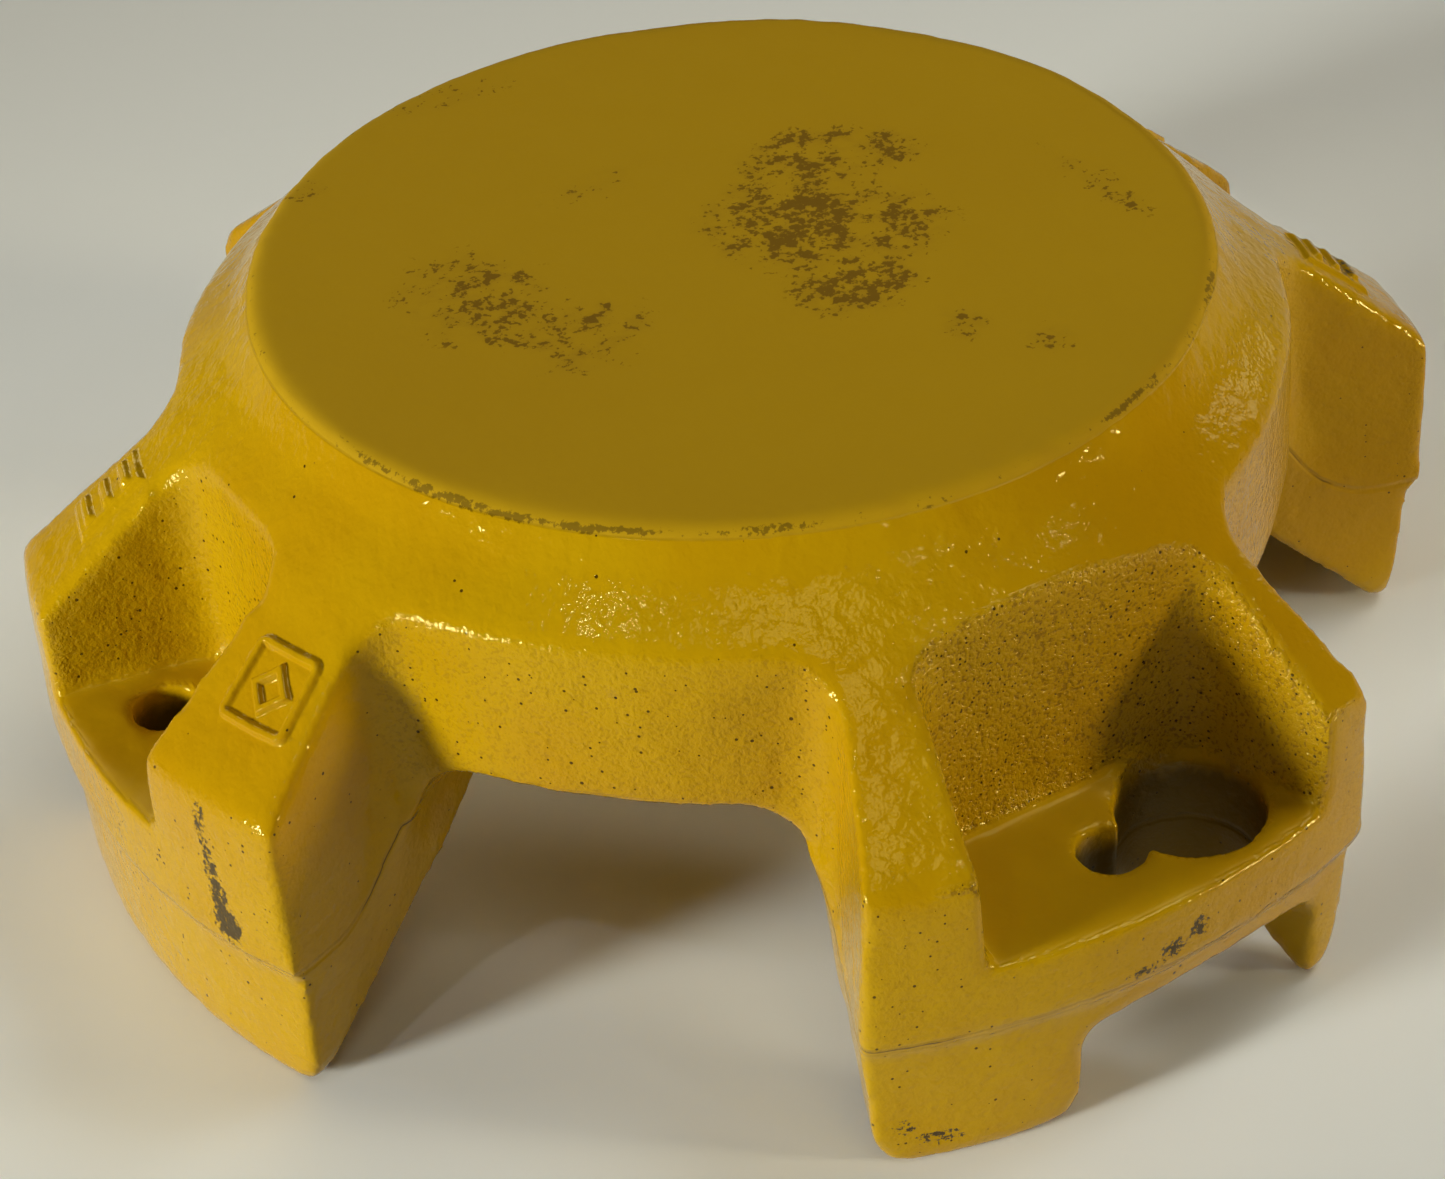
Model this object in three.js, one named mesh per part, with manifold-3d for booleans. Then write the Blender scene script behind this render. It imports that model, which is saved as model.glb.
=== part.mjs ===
// Tractor wheel weight: one sand-cast iron ring plate with a raised round cap and four legs.
// Millimetres, +Z up. The origin is the centre of the circle that the feet stand on.
// The narrow-pocket legs point along -X and +X. The wide-pocket legs point close to -Y and +Y.
// Opposite legs are alike.

import * as THREE from 'three';
import { mergeVertices } from 'three/addons/utils/BufferGeometryUtils.js';
import Module from 'manifold-3d';

const wasm = await Module();
wasm.setup();

// ---- Driving dimensions -------------------------------------------------------------------

const LATHE_STEPS = 96;
const OUTER_RADIUS = 200;
const HEIGHT = 157;

// Cap: flat round face, a steep band below it, then the long cone out to the rim.
const CAP_RADIUS = 127.5;
const CAP_EDGE_RADIUS = 129.5;
const CAP_EDGE_DROP = 1.2;
const BAND_RADIUS = 137;
const BAND_Z = 145.5;
const CONE_END_RADIUS = 196.5;
const CONE_END_Z = 96.5;
const RIM_SHOULDER_RADIUS = 199.3;
const RIM_SHOULDER_Z = 93.5;
const RIM_TOP_Z = 90;

// Mould parting line: the skirt below it steps inward.
const PARTING_Z = 46;
const SKIRT_TOP_RADIUS = 196.6;
const SKIRT_TOP_Z = 42.5;
const SKIRT_FOOT_RADIUS = 194.8;
const SKIRT_FOOT_Z = 3;

// Foot: narrow flat ring that the weight stands on.
const FOOT_OUTER_RADIUS = 193;
const FOOT_FLAT_RADIUS = 189.8;
const FOOT_INNER_RADIUS = 188.6;
const FOOT_INNER_Z = 0.7;

// Underside: a hollow cone closed by a flat ceiling.
const HOLLOW_START_RADIUS = 187;
const HOLLOW_START_Z = 4;
const CEILING_RADIUS = 94;
const CEILING_Z = 87;

// Legs. Each leg face is a flat that leans inward from the parting line, upward and downward.
const LEG_PITCH = 88.2;
const LEG_HALF_ANGLE = 22.6;
const LEG_DRAFT_UP_DEG = 2;
const LEG_DRAFT_DOWN_DEG = 4;
const FOOT_EDGE_ANGLE = 21.6;

// Gaps between the legs.
const GAP_WALL_RADIUS = 150.5;
const GAP_PLAN_FILLET = 14;
const GAP_ARCH_HEIGHT = 26;
const GAP_ARCH_ANGLE = 10;
const ARCH_START = 40;
const ARCH_END = 168;
const ARCH_INSET_ANGLE = 0.12;

// Bolt pockets, open at the top and at the outer wall. Angles are from the leg's middle.
const POCKET_TOP_Z = 175;
const POCKET_BACK = 149.5;
const POCKET_CORNER = 9;
const POCKET_DRAFT_DEG = 3;
const NARROW_POCKET = { from: -10.9, to: 7.9, floorZ: 69.5 };
const WIDE_POCKET = { from: -13.3, to: 16.7, floorZ: 66.5 };

// Bolt holes. The wide pocket has a keyhole whose large end lets a bolt head through.
const BOLT_CIRCLE_RADIUS = 173.6;
const BOLT_HOLE_RADIUS = 9.2;
const KEYHOLE_LARGE_RADIUS = 19.5;
const NARROW_HOLE_ANGLE = -5.2;
const KEYHOLE_SLOT_ANGLE = 1.5;
const KEYHOLE_LARGE_ANGLE = 10.3;
const HOLE_STEPS = 32;

// Notch through the skirt below each keyhole. Its ceiling sinks towards the middle.
const NOTCH_INNER_RADIUS = 165;
const NOTCH_CEILING_Z = 36.5;
const NOTCH_CEILING_FALL = 0.6;
const NOTCH = { from: -5.2, to: 18.0 };
const NOTCH_CORNER_HEIGHT = 8;
const NOTCH_CORNER_ANGLE = 2.4;

// Rounded lower corners of the feet.
const FOOT_CORNER_HEIGHT = 8;
const FOOT_CORNER_ANGLE = 2.4;
const SMALL_FOOT_CORNER_ANGLE = 1.2;
const FOOT_CORNER_MARGIN_ANGLE = 0.6;
const FOOT_CORNER_INNER_RADIUS = 175;

// How far a cutter reaches past the surface it opens.
const CLEARANCE = 1;

// ---- Solids -------------------------------------------------------------------------------

const deg = THREE.MathUtils.degToRad;

function toSolid(geometry) {
  geometry.deleteAttribute('normal');
  geometry.deleteAttribute('uv');
  const merged = mergeVertices(geometry, 1e-4);
  const mesh = new wasm.Mesh({
    numProp: 3,
    vertProperties: new Float32Array(merged.attributes.position.array),
    triVerts: new Uint32Array(merged.index.array),
  });
  return new wasm.Manifold(mesh);
}

function toGeometry(solid) {
  const mesh = solid.getMesh();
  const geometry = new THREE.BufferGeometry();
  geometry.setAttribute('position', new THREE.BufferAttribute(mesh.vertProperties, 3));
  geometry.setIndex(new THREE.BufferAttribute(mesh.triVerts, 1));
  geometry.computeVertexNormals();
  return geometry;
}

function moveVertices(geometry, move) {
  const position = geometry.attributes.position;
  const point = new THREE.Vector3();
  for (let i = 0; i < position.count; i += 1) {
    point.fromBufferAttribute(position, i);
    move(point);
    position.setXYZ(i, point.x, point.y, point.z);
  }
  return geometry;
}

// Extrudes an outline of (angle in degrees, height) along the radius, about the Z axis.
// Points above the ground sink by the fall for each millimetre inside the outer wall.
function radialSlot(outline, centreAngle, innerRadius, outerRadius, fall = 0) {
  const geometry = new THREE.ExtrudeGeometry(outline, {
    depth: outerRadius - innerRadius,
    steps: 1,
    curveSegments: 5,
    bevelEnabled: false,
  });
  moveVertices(geometry, (p) => {
    const angle = deg(centreAngle + p.x);
    const radius = innerRadius + p.z;
    const drop = p.y > 0 ? fall * (OUTER_RADIUS - radius) : 0;
    p.set(radius * Math.cos(angle), radius * Math.sin(angle), p.y - drop);
  });
  return toSolid(geometry);
}

// ---- Body of revolution -------------------------------------------------------------------

function makeBody() {
  const outline = [
    [0, CEILING_Z],
    [CEILING_RADIUS, CEILING_Z],
    [HOLLOW_START_RADIUS, HOLLOW_START_Z],
    [FOOT_INNER_RADIUS, FOOT_INNER_Z],
    [FOOT_FLAT_RADIUS, 0],
    [FOOT_OUTER_RADIUS, 0],
    [SKIRT_FOOT_RADIUS, SKIRT_FOOT_Z],
    [SKIRT_TOP_RADIUS, SKIRT_TOP_Z],
    [OUTER_RADIUS, PARTING_Z],
    [OUTER_RADIUS, RIM_TOP_Z],
    [RIM_SHOULDER_RADIUS, RIM_SHOULDER_Z],
    [CONE_END_RADIUS, CONE_END_Z],
    [BAND_RADIUS, BAND_Z],
    [CAP_EDGE_RADIUS, HEIGHT - CAP_EDGE_DROP],
    [CAP_RADIUS, HEIGHT],
    [0, HEIGHT],
  ];
  const points = outline.map(([radius, z]) => new THREE.Vector2(radius, z));
  const geometry = new THREE.LatheGeometry(points, LATHE_STEPS);
  geometry.rotateX(Math.PI / 2);
  return toSolid(geometry);
}

// ---- Gaps between the legs ----------------------------------------------------------------

// Plan outline of a gap that points along +X: two leg faces and the round inner wall.
function gapPlan(halfAngle) {
  const half = deg(halfAngle);
  const reach = OUTER_RADIUS + 40;
  const fillet = GAP_PLAN_FILLET;
  const centreRadius = GAP_WALL_RADIUS + fillet;
  const centreAngle = half - Math.asin(fillet / centreRadius);
  const cx = centreRadius * Math.cos(centreAngle);
  const cy = centreRadius * Math.sin(centreAngle);
  const outline = new THREE.Shape();
  outline.moveTo(reach * Math.cos(half), -reach * Math.sin(half));
  outline.lineTo(reach * Math.cos(half), reach * Math.sin(half));
  outline.absarc(cx, cy, fillet, Math.PI / 2 + half, Math.PI + centreAngle, false);
  outline.absarc(0, 0, GAP_WALL_RADIUS, centreAngle, -centreAngle, true);
  outline.absarc(cx, -cy, fillet, Math.PI - centreAngle, 1.5 * Math.PI - half, false);
  return outline;
}

// How far a leg face stands back from its place at the parting line.
function legDraft(z) {
  if (z > PARTING_Z) {
    return (z - PARTING_Z) * Math.tan(deg(LEG_DRAFT_UP_DEG));
  }
  return (PARTING_Z - z) * Math.tan(deg(LEG_DRAFT_DOWN_DEG));
}

// Gap above and below the parting line, from the round wall outward.
function makeOuterGap(gap) {
  const geometry = new THREE.ExtrudeGeometry(gapPlan(gap.halfAngle), {
    depth: 2,
    steps: 2,
    curveSegments: 8,
    bevelEnabled: false,
  });
  const levels = [-CLEARANCE, PARTING_Z, HEIGHT + CLEARANCE];
  const half = deg(gap.halfAngle);
  moveVertices(geometry, (p) => {
    const z = levels[Math.round(p.z)];
    p.y += Math.sign(p.y) * legDraft(z) / Math.cos(half);
    p.z = z;
  });
  geometry.rotateZ(deg(gap.centre));
  return toSolid(geometry);
}

// Opening under the body, with an arched corner against each leg.
function makeArch(gap) {
  const half = gap.halfAngle - ARCH_INSET_ANGLE;
  const flat = half - GAP_ARCH_ANGLE;
  const springZ = CEILING_Z - GAP_ARCH_HEIGHT;
  const outline = new THREE.Shape();
  outline.moveTo(-half, -CLEARANCE);
  outline.lineTo(half, -CLEARANCE);
  outline.lineTo(half, PARTING_Z);
  outline.lineTo(half, springZ);
  outline.absellipse(flat, springZ, GAP_ARCH_ANGLE, GAP_ARCH_HEIGHT, 0, Math.PI / 2, false, 0);
  outline.absellipse(-flat, springZ, GAP_ARCH_ANGLE, GAP_ARCH_HEIGHT, Math.PI / 2, Math.PI, false, 0);
  outline.lineTo(-half, PARTING_Z);
  const geometry = new THREE.ExtrudeGeometry(outline, {
    depth: ARCH_END - ARCH_START,
    steps: 1,
    curveSegments: 5,
    bevelEnabled: false,
  });
  moveVertices(geometry, (p) => {
    const z = p.y;
    const x = ARCH_START + p.z;
    const draft = z < PARTING_Z ? legDraft(z) : 0;
    const y = x * Math.tan(deg(p.x)) + Math.sign(p.x) * draft / Math.cos(deg(half));
    p.set(x, y, z);
  });
  geometry.rotateZ(deg(gap.centre));
  return toSolid(geometry);
}

// ---- Bolt pockets, holes and notches ------------------------------------------------------

// Pocket that points along +X. Its side walls lean back by the draft angle as they rise.
function makePocket(legAngle, pocket) {
  const reach = OUTER_RADIUS + 30;
  const low = Math.tan(deg(pocket.from));
  const high = Math.tan(deg(pocket.to));
  const back = POCKET_BACK;
  const corner = POCKET_CORNER;
  const outline = new THREE.Shape();
  outline.moveTo(reach, reach * low);
  outline.lineTo(reach, reach * high);
  outline.lineTo(back + corner, (back + corner) * high);
  outline.quadraticCurveTo(back, back * high, back, back * high - corner);
  outline.lineTo(back, back * low + corner);
  outline.quadraticCurveTo(back, back * low, back + corner, (back + corner) * low);
  const rise = POCKET_TOP_Z - pocket.floorZ;
  const geometry = new THREE.ExtrudeGeometry(outline, {
    depth: rise,
    steps: 1,
    curveSegments: 3,
    bevelEnabled: false,
  });
  const shift = rise * Math.tan(deg(POCKET_DRAFT_DEG));
  const middle = Math.tan(deg((pocket.from + pocket.to) / 2));
  moveVertices(geometry, (p) => {
    if (p.z > rise / 2) {
      p.y += Math.sign(p.y - middle * p.x) * shift;
    }
    p.z += pocket.floorZ;
  });
  geometry.rotateZ(deg(legAngle));
  return toSolid(geometry);
}

function makeHole(angle, radius) {
  const length = WIDE_POCKET.floorZ + 20;
  const geometry = new THREE.CylinderGeometry(radius, radius, length, HOLE_STEPS);
  geometry.rotateX(Math.PI / 2);
  geometry.translate(
    BOLT_CIRCLE_RADIUS * Math.cos(deg(angle)),
    BOLT_CIRCLE_RADIUS * Math.sin(deg(angle)),
    length / 2 - CLEARANCE,
  );
  return toSolid(geometry);
}

function makeKeyhole(legAngle) {
  const large = makeHole(legAngle + KEYHOLE_LARGE_ANGLE, KEYHOLE_LARGE_RADIUS);
  const small = makeHole(legAngle + KEYHOLE_SLOT_ANGLE, BOLT_HOLE_RADIUS);
  return large.add(small);
}

function makeNotch(legAngle) {
  const low = NOTCH_CEILING_Z - NOTCH_CORNER_HEIGHT;
  const turn = NOTCH_CORNER_ANGLE;
  const rise = NOTCH_CORNER_HEIGHT;
  const outline = new THREE.Shape();
  outline.moveTo(NOTCH.from, -CLEARANCE);
  outline.lineTo(NOTCH.to, -CLEARANCE);
  outline.lineTo(NOTCH.to, low);
  outline.absellipse(NOTCH.to - turn, low, turn, rise, 0, Math.PI / 2, false, 0);
  outline.absellipse(NOTCH.from + turn, low, turn, rise, Math.PI / 2, Math.PI, false, 0);
  return radialSlot(outline, legAngle, NOTCH_INNER_RADIUS, OUTER_RADIUS + 20, NOTCH_CEILING_FALL);
}

// Removes the sharp lower corner of a foot. Side is +1 where the foot lies at smaller angles.
function makeFootCorner(legAngle, edgeAngle, side, turn) {
  const rise = FOOT_CORNER_HEIGHT;
  const centre = edgeAngle - side * turn;
  const outside = edgeAngle + side * FOOT_CORNER_MARGIN_ANGLE;
  const arcEnd = side > 0 ? 0 : -Math.PI;
  const outline = new THREE.Shape();
  outline.moveTo(centre, 0);
  outline.absellipse(centre, rise, turn, rise, -Math.PI / 2, arcEnd, side < 0, 0);
  outline.lineTo(outside, rise);
  outline.lineTo(outside, -CLEARANCE);
  outline.lineTo(centre, -CLEARANCE);
  return radialSlot(outline, legAngle, FOOT_CORNER_INNER_RADIUS, OUTER_RADIUS + 5);
}

// ---- Assembly -----------------------------------------------------------------------------

function makeWeight() {
  const narrowLegs = [180, 0];
  const wideLegs = [180 + LEG_PITCH, LEG_PITCH];
  const closeGap = LEG_PITCH / 2;
  const farGap = 90 + LEG_PITCH / 2;
  const gaps = [
    { centre: closeGap, halfAngle: LEG_PITCH / 2 - LEG_HALF_ANGLE },
    { centre: farGap, halfAngle: 90 - LEG_PITCH / 2 - LEG_HALF_ANGLE },
    { centre: 180 + closeGap, halfAngle: LEG_PITCH / 2 - LEG_HALF_ANGLE },
    { centre: 180 + farGap, halfAngle: 90 - LEG_PITCH / 2 - LEG_HALF_ANGLE },
  ];
  const legEdge = FOOT_EDGE_ANGLE;
  let solid = makeBody();
  for (const gap of gaps) {
    solid = solid.subtract(makeOuterGap(gap));
    solid = solid.subtract(makeArch(gap));
  }
  for (const leg of narrowLegs) {
    solid = solid.subtract(makePocket(leg, NARROW_POCKET));
    solid = solid.subtract(makeHole(leg + NARROW_HOLE_ANGLE, BOLT_HOLE_RADIUS));
    solid = solid.subtract(makeFootCorner(leg, legEdge, 1, FOOT_CORNER_ANGLE));
    solid = solid.subtract(makeFootCorner(leg, -legEdge, -1, FOOT_CORNER_ANGLE));
  }
  for (const leg of wideLegs) {
    solid = solid.subtract(makePocket(leg, WIDE_POCKET));
    solid = solid.subtract(makeKeyhole(leg));
    solid = solid.subtract(makeNotch(leg));
    solid = solid.subtract(makeFootCorner(leg, legEdge, 1, SMALL_FOOT_CORNER_ANGLE));
    solid = solid.subtract(makeFootCorner(leg, NOTCH.to, -1, SMALL_FOOT_CORNER_ANGLE));
    solid = solid.subtract(makeFootCorner(leg, NOTCH.from, 1, FOOT_CORNER_ANGLE));
    solid = solid.subtract(makeFootCorner(leg, -legEdge, -1, FOOT_CORNER_ANGLE));
  }
  return solid;
}

const enamel = new THREE.MeshStandardMaterial({
  name: 'yellow_enamel',
  color: 0xd9a514,
  roughness: 0.35,
  metalness: 0.0,
});

const casting = new THREE.Mesh(toGeometry(makeWeight()), enamel);
casting.name = 'weight_casting';

const weight = new THREE.Group();
weight.name = 'wheel_weight';
weight.add(casting);

export default weight;
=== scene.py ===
"""Painted cast-iron wheel weight: fine casting surface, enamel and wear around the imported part.

Lengths inside the geometry functions are millimetres; Blender objects and shader nodes use metres.
"""

import math

import bpy
import bmesh
import numpy as np
from mathutils import Matrix, Vector


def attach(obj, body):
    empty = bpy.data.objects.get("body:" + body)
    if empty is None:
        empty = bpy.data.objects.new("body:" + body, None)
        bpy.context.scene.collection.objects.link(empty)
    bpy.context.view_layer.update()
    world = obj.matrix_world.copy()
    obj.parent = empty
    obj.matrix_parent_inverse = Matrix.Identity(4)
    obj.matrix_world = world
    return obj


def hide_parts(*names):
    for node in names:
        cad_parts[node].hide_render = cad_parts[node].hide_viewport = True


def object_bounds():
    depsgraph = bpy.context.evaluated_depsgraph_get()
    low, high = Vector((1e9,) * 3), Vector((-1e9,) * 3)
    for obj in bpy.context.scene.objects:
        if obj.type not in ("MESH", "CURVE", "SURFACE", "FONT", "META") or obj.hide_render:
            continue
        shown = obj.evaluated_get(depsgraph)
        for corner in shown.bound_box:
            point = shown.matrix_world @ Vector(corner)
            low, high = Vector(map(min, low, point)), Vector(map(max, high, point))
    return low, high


MM = 0.001
CASTING = "weight_casting"

# Shape of the part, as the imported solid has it.
HEIGHT = 157.0
LEG_ANGLES = (180.0, 268.2, 0.0, 88.2)
NARROW_LEGS = LEG_ANGLES[0::2]
WIDE_LEGS = LEG_ANGLES[1::2]
LEG_HALF_ANGLE = 22.6
# Each kind of pocket: the angles of its two sides from the leg's middle, and its floor height.
NARROW_POCKET = (-10.9, 7.9, 69.5)
WIDE_POCKET = (-13.3, 16.7, 66.5)
POCKETS = {leg: NARROW_POCKET for leg in NARROW_LEGS} | {leg: WIDE_POCKET for leg in WIDE_LEGS}

# Bolt holes and keyholes: radii, and angles from the leg's middle.
BOLT_CIRCLE = 173.6
BOLT_HOLE_RADIUS = 9.2
NARROW_HOLE_ANGLE = -5.2
SLOT_ANGLE = 1.5
KEYHOLE_ANGLE = 10.3
KEYHOLE_RADIUS = 19.5

# Iron round a keyhole's large end: a small ledge on the floor and a boss below it.
RING_STEPS = 24
LEDGE_HALF_ANGLE = 40.0
LEDGE_WIDTH = 6.0
LEDGE_HEIGHT = 4.5
BOSS_MIDDLE = -23.0
BOSS_HALF_ANGLE = 77.0
BOSS_WIDTH = 7.0
BOSS_LOW_Z = 20.0

# Parting seam: level on the outer wall, climbing towards the body on the leg faces.
PARTING_Z = 46.0
SEAM_CLIMB = 22.0
SEAM_CLIMB_START = 183.0
SEAM_CLIMB_LENGTH = 26.0
SEAM_RANGE = 20.0

# Surface mesh: voxel size, rounds of smoothing and the number of triangles that is kept.
VOXEL = 1.5
PULL = 0.5
EDGE_ROUNDS = 9
RIM_ROUNDS = 1
FOOT_ROUNDS = 14
POCKET_ROUNDS = 40
BAND_ROUNDS = 8
FINAL_FACES = 190000

# Places that are smoothed apart from the rest. A pair is a soft limit, from its start to its end.
RIM_INNER = (118.0, 122.0)
RIM_OUTER = (131.5, 134.0)
RIM_LOW_Z = 152.0
HOLE_EDGE_REACH = 2.5
HOLE_EDGE_Z = (55.0, 75.0)
HOLE_EDGE_CRISP = 0.7
BAND_INNER = (133.0, 136.0)
BAND_OUTER = (141.0, 147.0)
BAND_LOW_Z = (132.0, 137.0)
CORNER_REACH = (3.0, 5.0)
CORNER_INNER = (146.0, 149.0)
CORNER_OUTER = (160.0, 166.0)
CORNER_ABOVE_FLOOR = (4.0, 9.0)
CORNER_HIGH_Z = (122.0, 130.0)
FOOT_Z = (5.0, 20.0)
FOOT_STRETCH = 16.0

# Crease on the leg faces: how far it stands out, per millimetre above the outer seam's height.
CREASE_SLOPE = 0.105
CREASE_FALL = 0.6
CREASE_FACING = (0.75, 0.95)
CREASE_ANGLE = 2.5
CREASE_INNER = (140.0, 156.0)

# Uneven surface: height, wavelength, seed and number of waves of each layer.
RELIEF = ((0.22, 70.0, 11, 20), (0.07, 17.0, 12, 20), (0.045, 6.5, 13, 36))
CAP_EDGE = (122.0, 131.0)
CAP_LOW_Z = 150.0
CAP_FLATNESS = 0.75

# The cap's rim keeps all its points when the mesh is thinned.
KEPT_RIM = (121.0, 133.0)
KEPT_RIM_LOW_Z = 148.0

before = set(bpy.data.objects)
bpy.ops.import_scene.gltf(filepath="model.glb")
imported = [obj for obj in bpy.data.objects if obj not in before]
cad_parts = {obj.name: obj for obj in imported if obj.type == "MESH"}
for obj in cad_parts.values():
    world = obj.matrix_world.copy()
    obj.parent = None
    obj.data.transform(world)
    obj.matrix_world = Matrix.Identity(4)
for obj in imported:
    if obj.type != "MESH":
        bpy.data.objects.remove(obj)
cad_low, cad_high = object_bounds()


# ---- Geometry helpers ---------------------------------------------------------------------


def smoothstep(low, high, value):
    t = np.clip((value - low) / (high - low), 0.0, 1.0)
    return t * t * (3.0 - 2.0 * t)


def wave_field(points, wavelength, seed, waves):
    """Smooth random field with about unit spread, from seeded plane waves."""
    rng = np.random.default_rng(seed)
    direction = rng.normal(size=(waves, 3))
    direction /= np.linalg.norm(direction, axis=1)[:, None]
    frequency = 2.0 * math.pi / wavelength * rng.uniform(0.7, 1.4, waves)
    phase = rng.uniform(0.0, 2.0 * math.pi, waves)
    waves_at = np.sin(points @ (direction * frequency[:, None]).T + phase)
    return waves_at.sum(axis=1) / math.sqrt(waves / 2.0)


def add_ring_part(grid, leg, middle, half_angle, width, low, high):
    """Curved wall round a keyhole's large end, from a low height up to a height function."""
    turn = math.radians(leg + KEYHOLE_ANGLE)
    rows = []
    for step in range(RING_STEPS + 1):
        part = 2.0 * step / RING_STEPS - 1.0
        angle = turn + math.pi + math.radians(middle + half_angle * part)
        row = []
        for reach, z in (
            (KEYHOLE_RADIUS, low),
            (KEYHOLE_RADIUS, high(part)),
            (KEYHOLE_RADIUS + width, high(part)),
            (KEYHOLE_RADIUS + width, low),
        ):
            x = BOLT_CIRCLE * math.cos(turn) + reach * math.cos(angle)
            y = BOLT_CIRCLE * math.sin(turn) + reach * math.sin(angle)
            row.append(grid.verts.new((x * MM, y * MM, z * MM)))
        rows.append(row)
    for first, second in zip(rows, rows[1:]):
        for i in range(4):
            j = (i + 1) % 4
            grid.faces.new((first[i], second[i], second[j], first[j]))
    grid.faces.new(rows[0])
    grid.faces.new(rows[-1][::-1])


def add_keyhole_iron(grid, leg):
    """Small crescent above the floor against the pocket wall, and a boss under the floor."""
    floor_z = POCKETS[leg][2]
    add_ring_part(
        grid, leg, 0.0, LEDGE_HALF_ANGLE, LEDGE_WIDTH, floor_z - 6.0,
        lambda part: floor_z - 1.0 + (LEDGE_HEIGHT + 1.0) * (1.0 - part * part),
    )
    add_ring_part(
        grid, leg, BOSS_MIDDLE, BOSS_HALF_ANGLE, BOSS_WIDTH, BOSS_LOW_Z,
        lambda part: floor_z - 8.0,
    )


def voxel_copy(node, voxel):
    """A new, evenly gridded mesh of a CAD node's shape."""
    work = bpy.data.objects.new("voxel_work", node.data.copy())
    bpy.context.scene.collection.objects.link(work)
    grid = bmesh.new()
    grid.from_mesh(work.data)
    bmesh.ops.remove_doubles(grid, verts=grid.verts, dist=0.00001)
    for leg in WIDE_LEGS:
        add_keyhole_iron(grid, leg)
    grid.to_mesh(work.data)
    grid.free()
    remesh = work.modifiers.new("voxels", "REMESH")
    remesh.mode = "VOXEL"
    remesh.voxel_size = voxel * MM
    bpy.context.view_layer.update()
    depsgraph = bpy.context.evaluated_depsgraph_get()
    mesh = bpy.data.meshes.new_from_object(work.evaluated_get(depsgraph))
    mesh.materials.clear()
    bpy.data.objects.remove(work)
    return mesh


def get_points(mesh):
    flat = np.zeros(len(mesh.vertices) * 3, np.float32)
    mesh.vertices.foreach_get("co", flat)
    return flat.reshape(-1, 3).astype(float) / MM


def set_points(mesh, points):
    mesh.vertices.foreach_set("co", (points * MM).astype(np.float32).ravel())
    mesh.update()


def get_normals(mesh):
    flat = np.zeros(len(mesh.vertices) * 3, np.float32)
    mesh.vertex_normals.foreach_get("vector", flat)
    return flat.reshape(-1, 3).astype(float)


def get_edges(mesh):
    flat = np.zeros(len(mesh.edges) * 2, np.int32)
    mesh.edges.foreach_get("vertices", flat)
    return flat.reshape(-1, 2)


def smooth(points, edges, amount, rounds):
    """Moves each point part of the way to the mean of its neighbours, less where amount is low."""
    first, second = edges.T
    size = len(points)
    count = np.bincount(first, minlength=size) + np.bincount(second, minlength=size)
    count = np.maximum(count, 1)
    for _ in range(rounds):
        mean = np.empty_like(points)
        for axis in range(3):
            column = points[:, axis]
            mean[:, axis] = np.bincount(first, column[second], size)
            mean[:, axis] += np.bincount(second, column[first], size)
        mean /= count[:, None]
        points += (PULL * amount)[:, None] * (mean - points)
    return points


def polar(points):
    radius = np.hypot(points[:, 0], points[:, 1])
    angle = np.degrees(np.arctan2(points[:, 1], points[:, 0])) % 360.0
    return radius, angle


def offset_angle(angle, centre):
    """Signed angle from a centre direction, in degrees."""
    return (angle - centre + 180.0) % 360.0 - 180.0


def nearest_leg(angle):
    offsets = np.stack([offset_angle(angle, leg) for leg in LEG_ANGLES])
    return offsets[np.abs(offsets).argmin(axis=0), np.arange(len(angle))]


# ---- Raised casting marks -----------------------------------------------------------------


FRAME_CORNER = 3.0
FRAME_INSET = 1.4
FRAME_LINE = (0.5, 1.9)
DIAMOND_MARGIN = 4.0
DIAMOND_REACH = 0.70
DIAMOND_LINE = (0.10, 0.32)
FRAME_HEIGHT = 1.6


def framed_diamond(u, v, half_u, half_v):
    """Height of a raised frame with a plain diamond inside it."""
    past_u = np.abs(u) - (half_u - FRAME_CORNER)
    past_v = np.abs(v) - (half_v - FRAME_CORNER)
    inner = np.minimum(np.maximum(past_u, past_v), 0)
    outside = np.hypot(np.maximum(past_u, 0), np.maximum(past_v, 0)) + inner
    rim = 1.0 - smoothstep(*FRAME_LINE, np.abs(outside - FRAME_CORNER + FRAME_INSET))
    reach = np.abs(u) / (half_u - DIAMOND_MARGIN) + np.abs(v) / (half_v - DIAMOND_MARGIN)
    diamond = 1.0 - smoothstep(*DIAMOND_LINE, np.abs(reach - DIAMOND_REACH))
    return FRAME_HEIGHT * np.maximum(rim, diamond)


PAD_EDGE = (-1.6, 0.4)
PAD_HEIGHT = 1.3
BAR_SPACING = 0.58
BAR_ACROSS = (0.6, 2.4)
BAR_MARGIN = (4.0, 2.0)
BAR_HEIGHT = 1.2


def ruled_pad(u, v, half_u, half_v):
    """Height of a low raised pad with three plain bars across it."""
    edge = np.maximum(np.abs(u) - half_u, np.abs(v) - half_v)
    pad = 1.0 - smoothstep(*PAD_EDGE, edge)
    bars = np.zeros_like(u)
    start, end = BAR_MARGIN
    for row in (-1, 0, 1):
        across = 1.0 - smoothstep(*BAR_ACROSS, np.abs(v - row * half_v * BAR_SPACING))
        along = 1.0 - smoothstep(half_u - start, half_u - end, np.abs(u))
        bars = np.maximum(bars, across * along)
    return PAD_HEIGHT * pad + BAR_HEIGHT * bars


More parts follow.
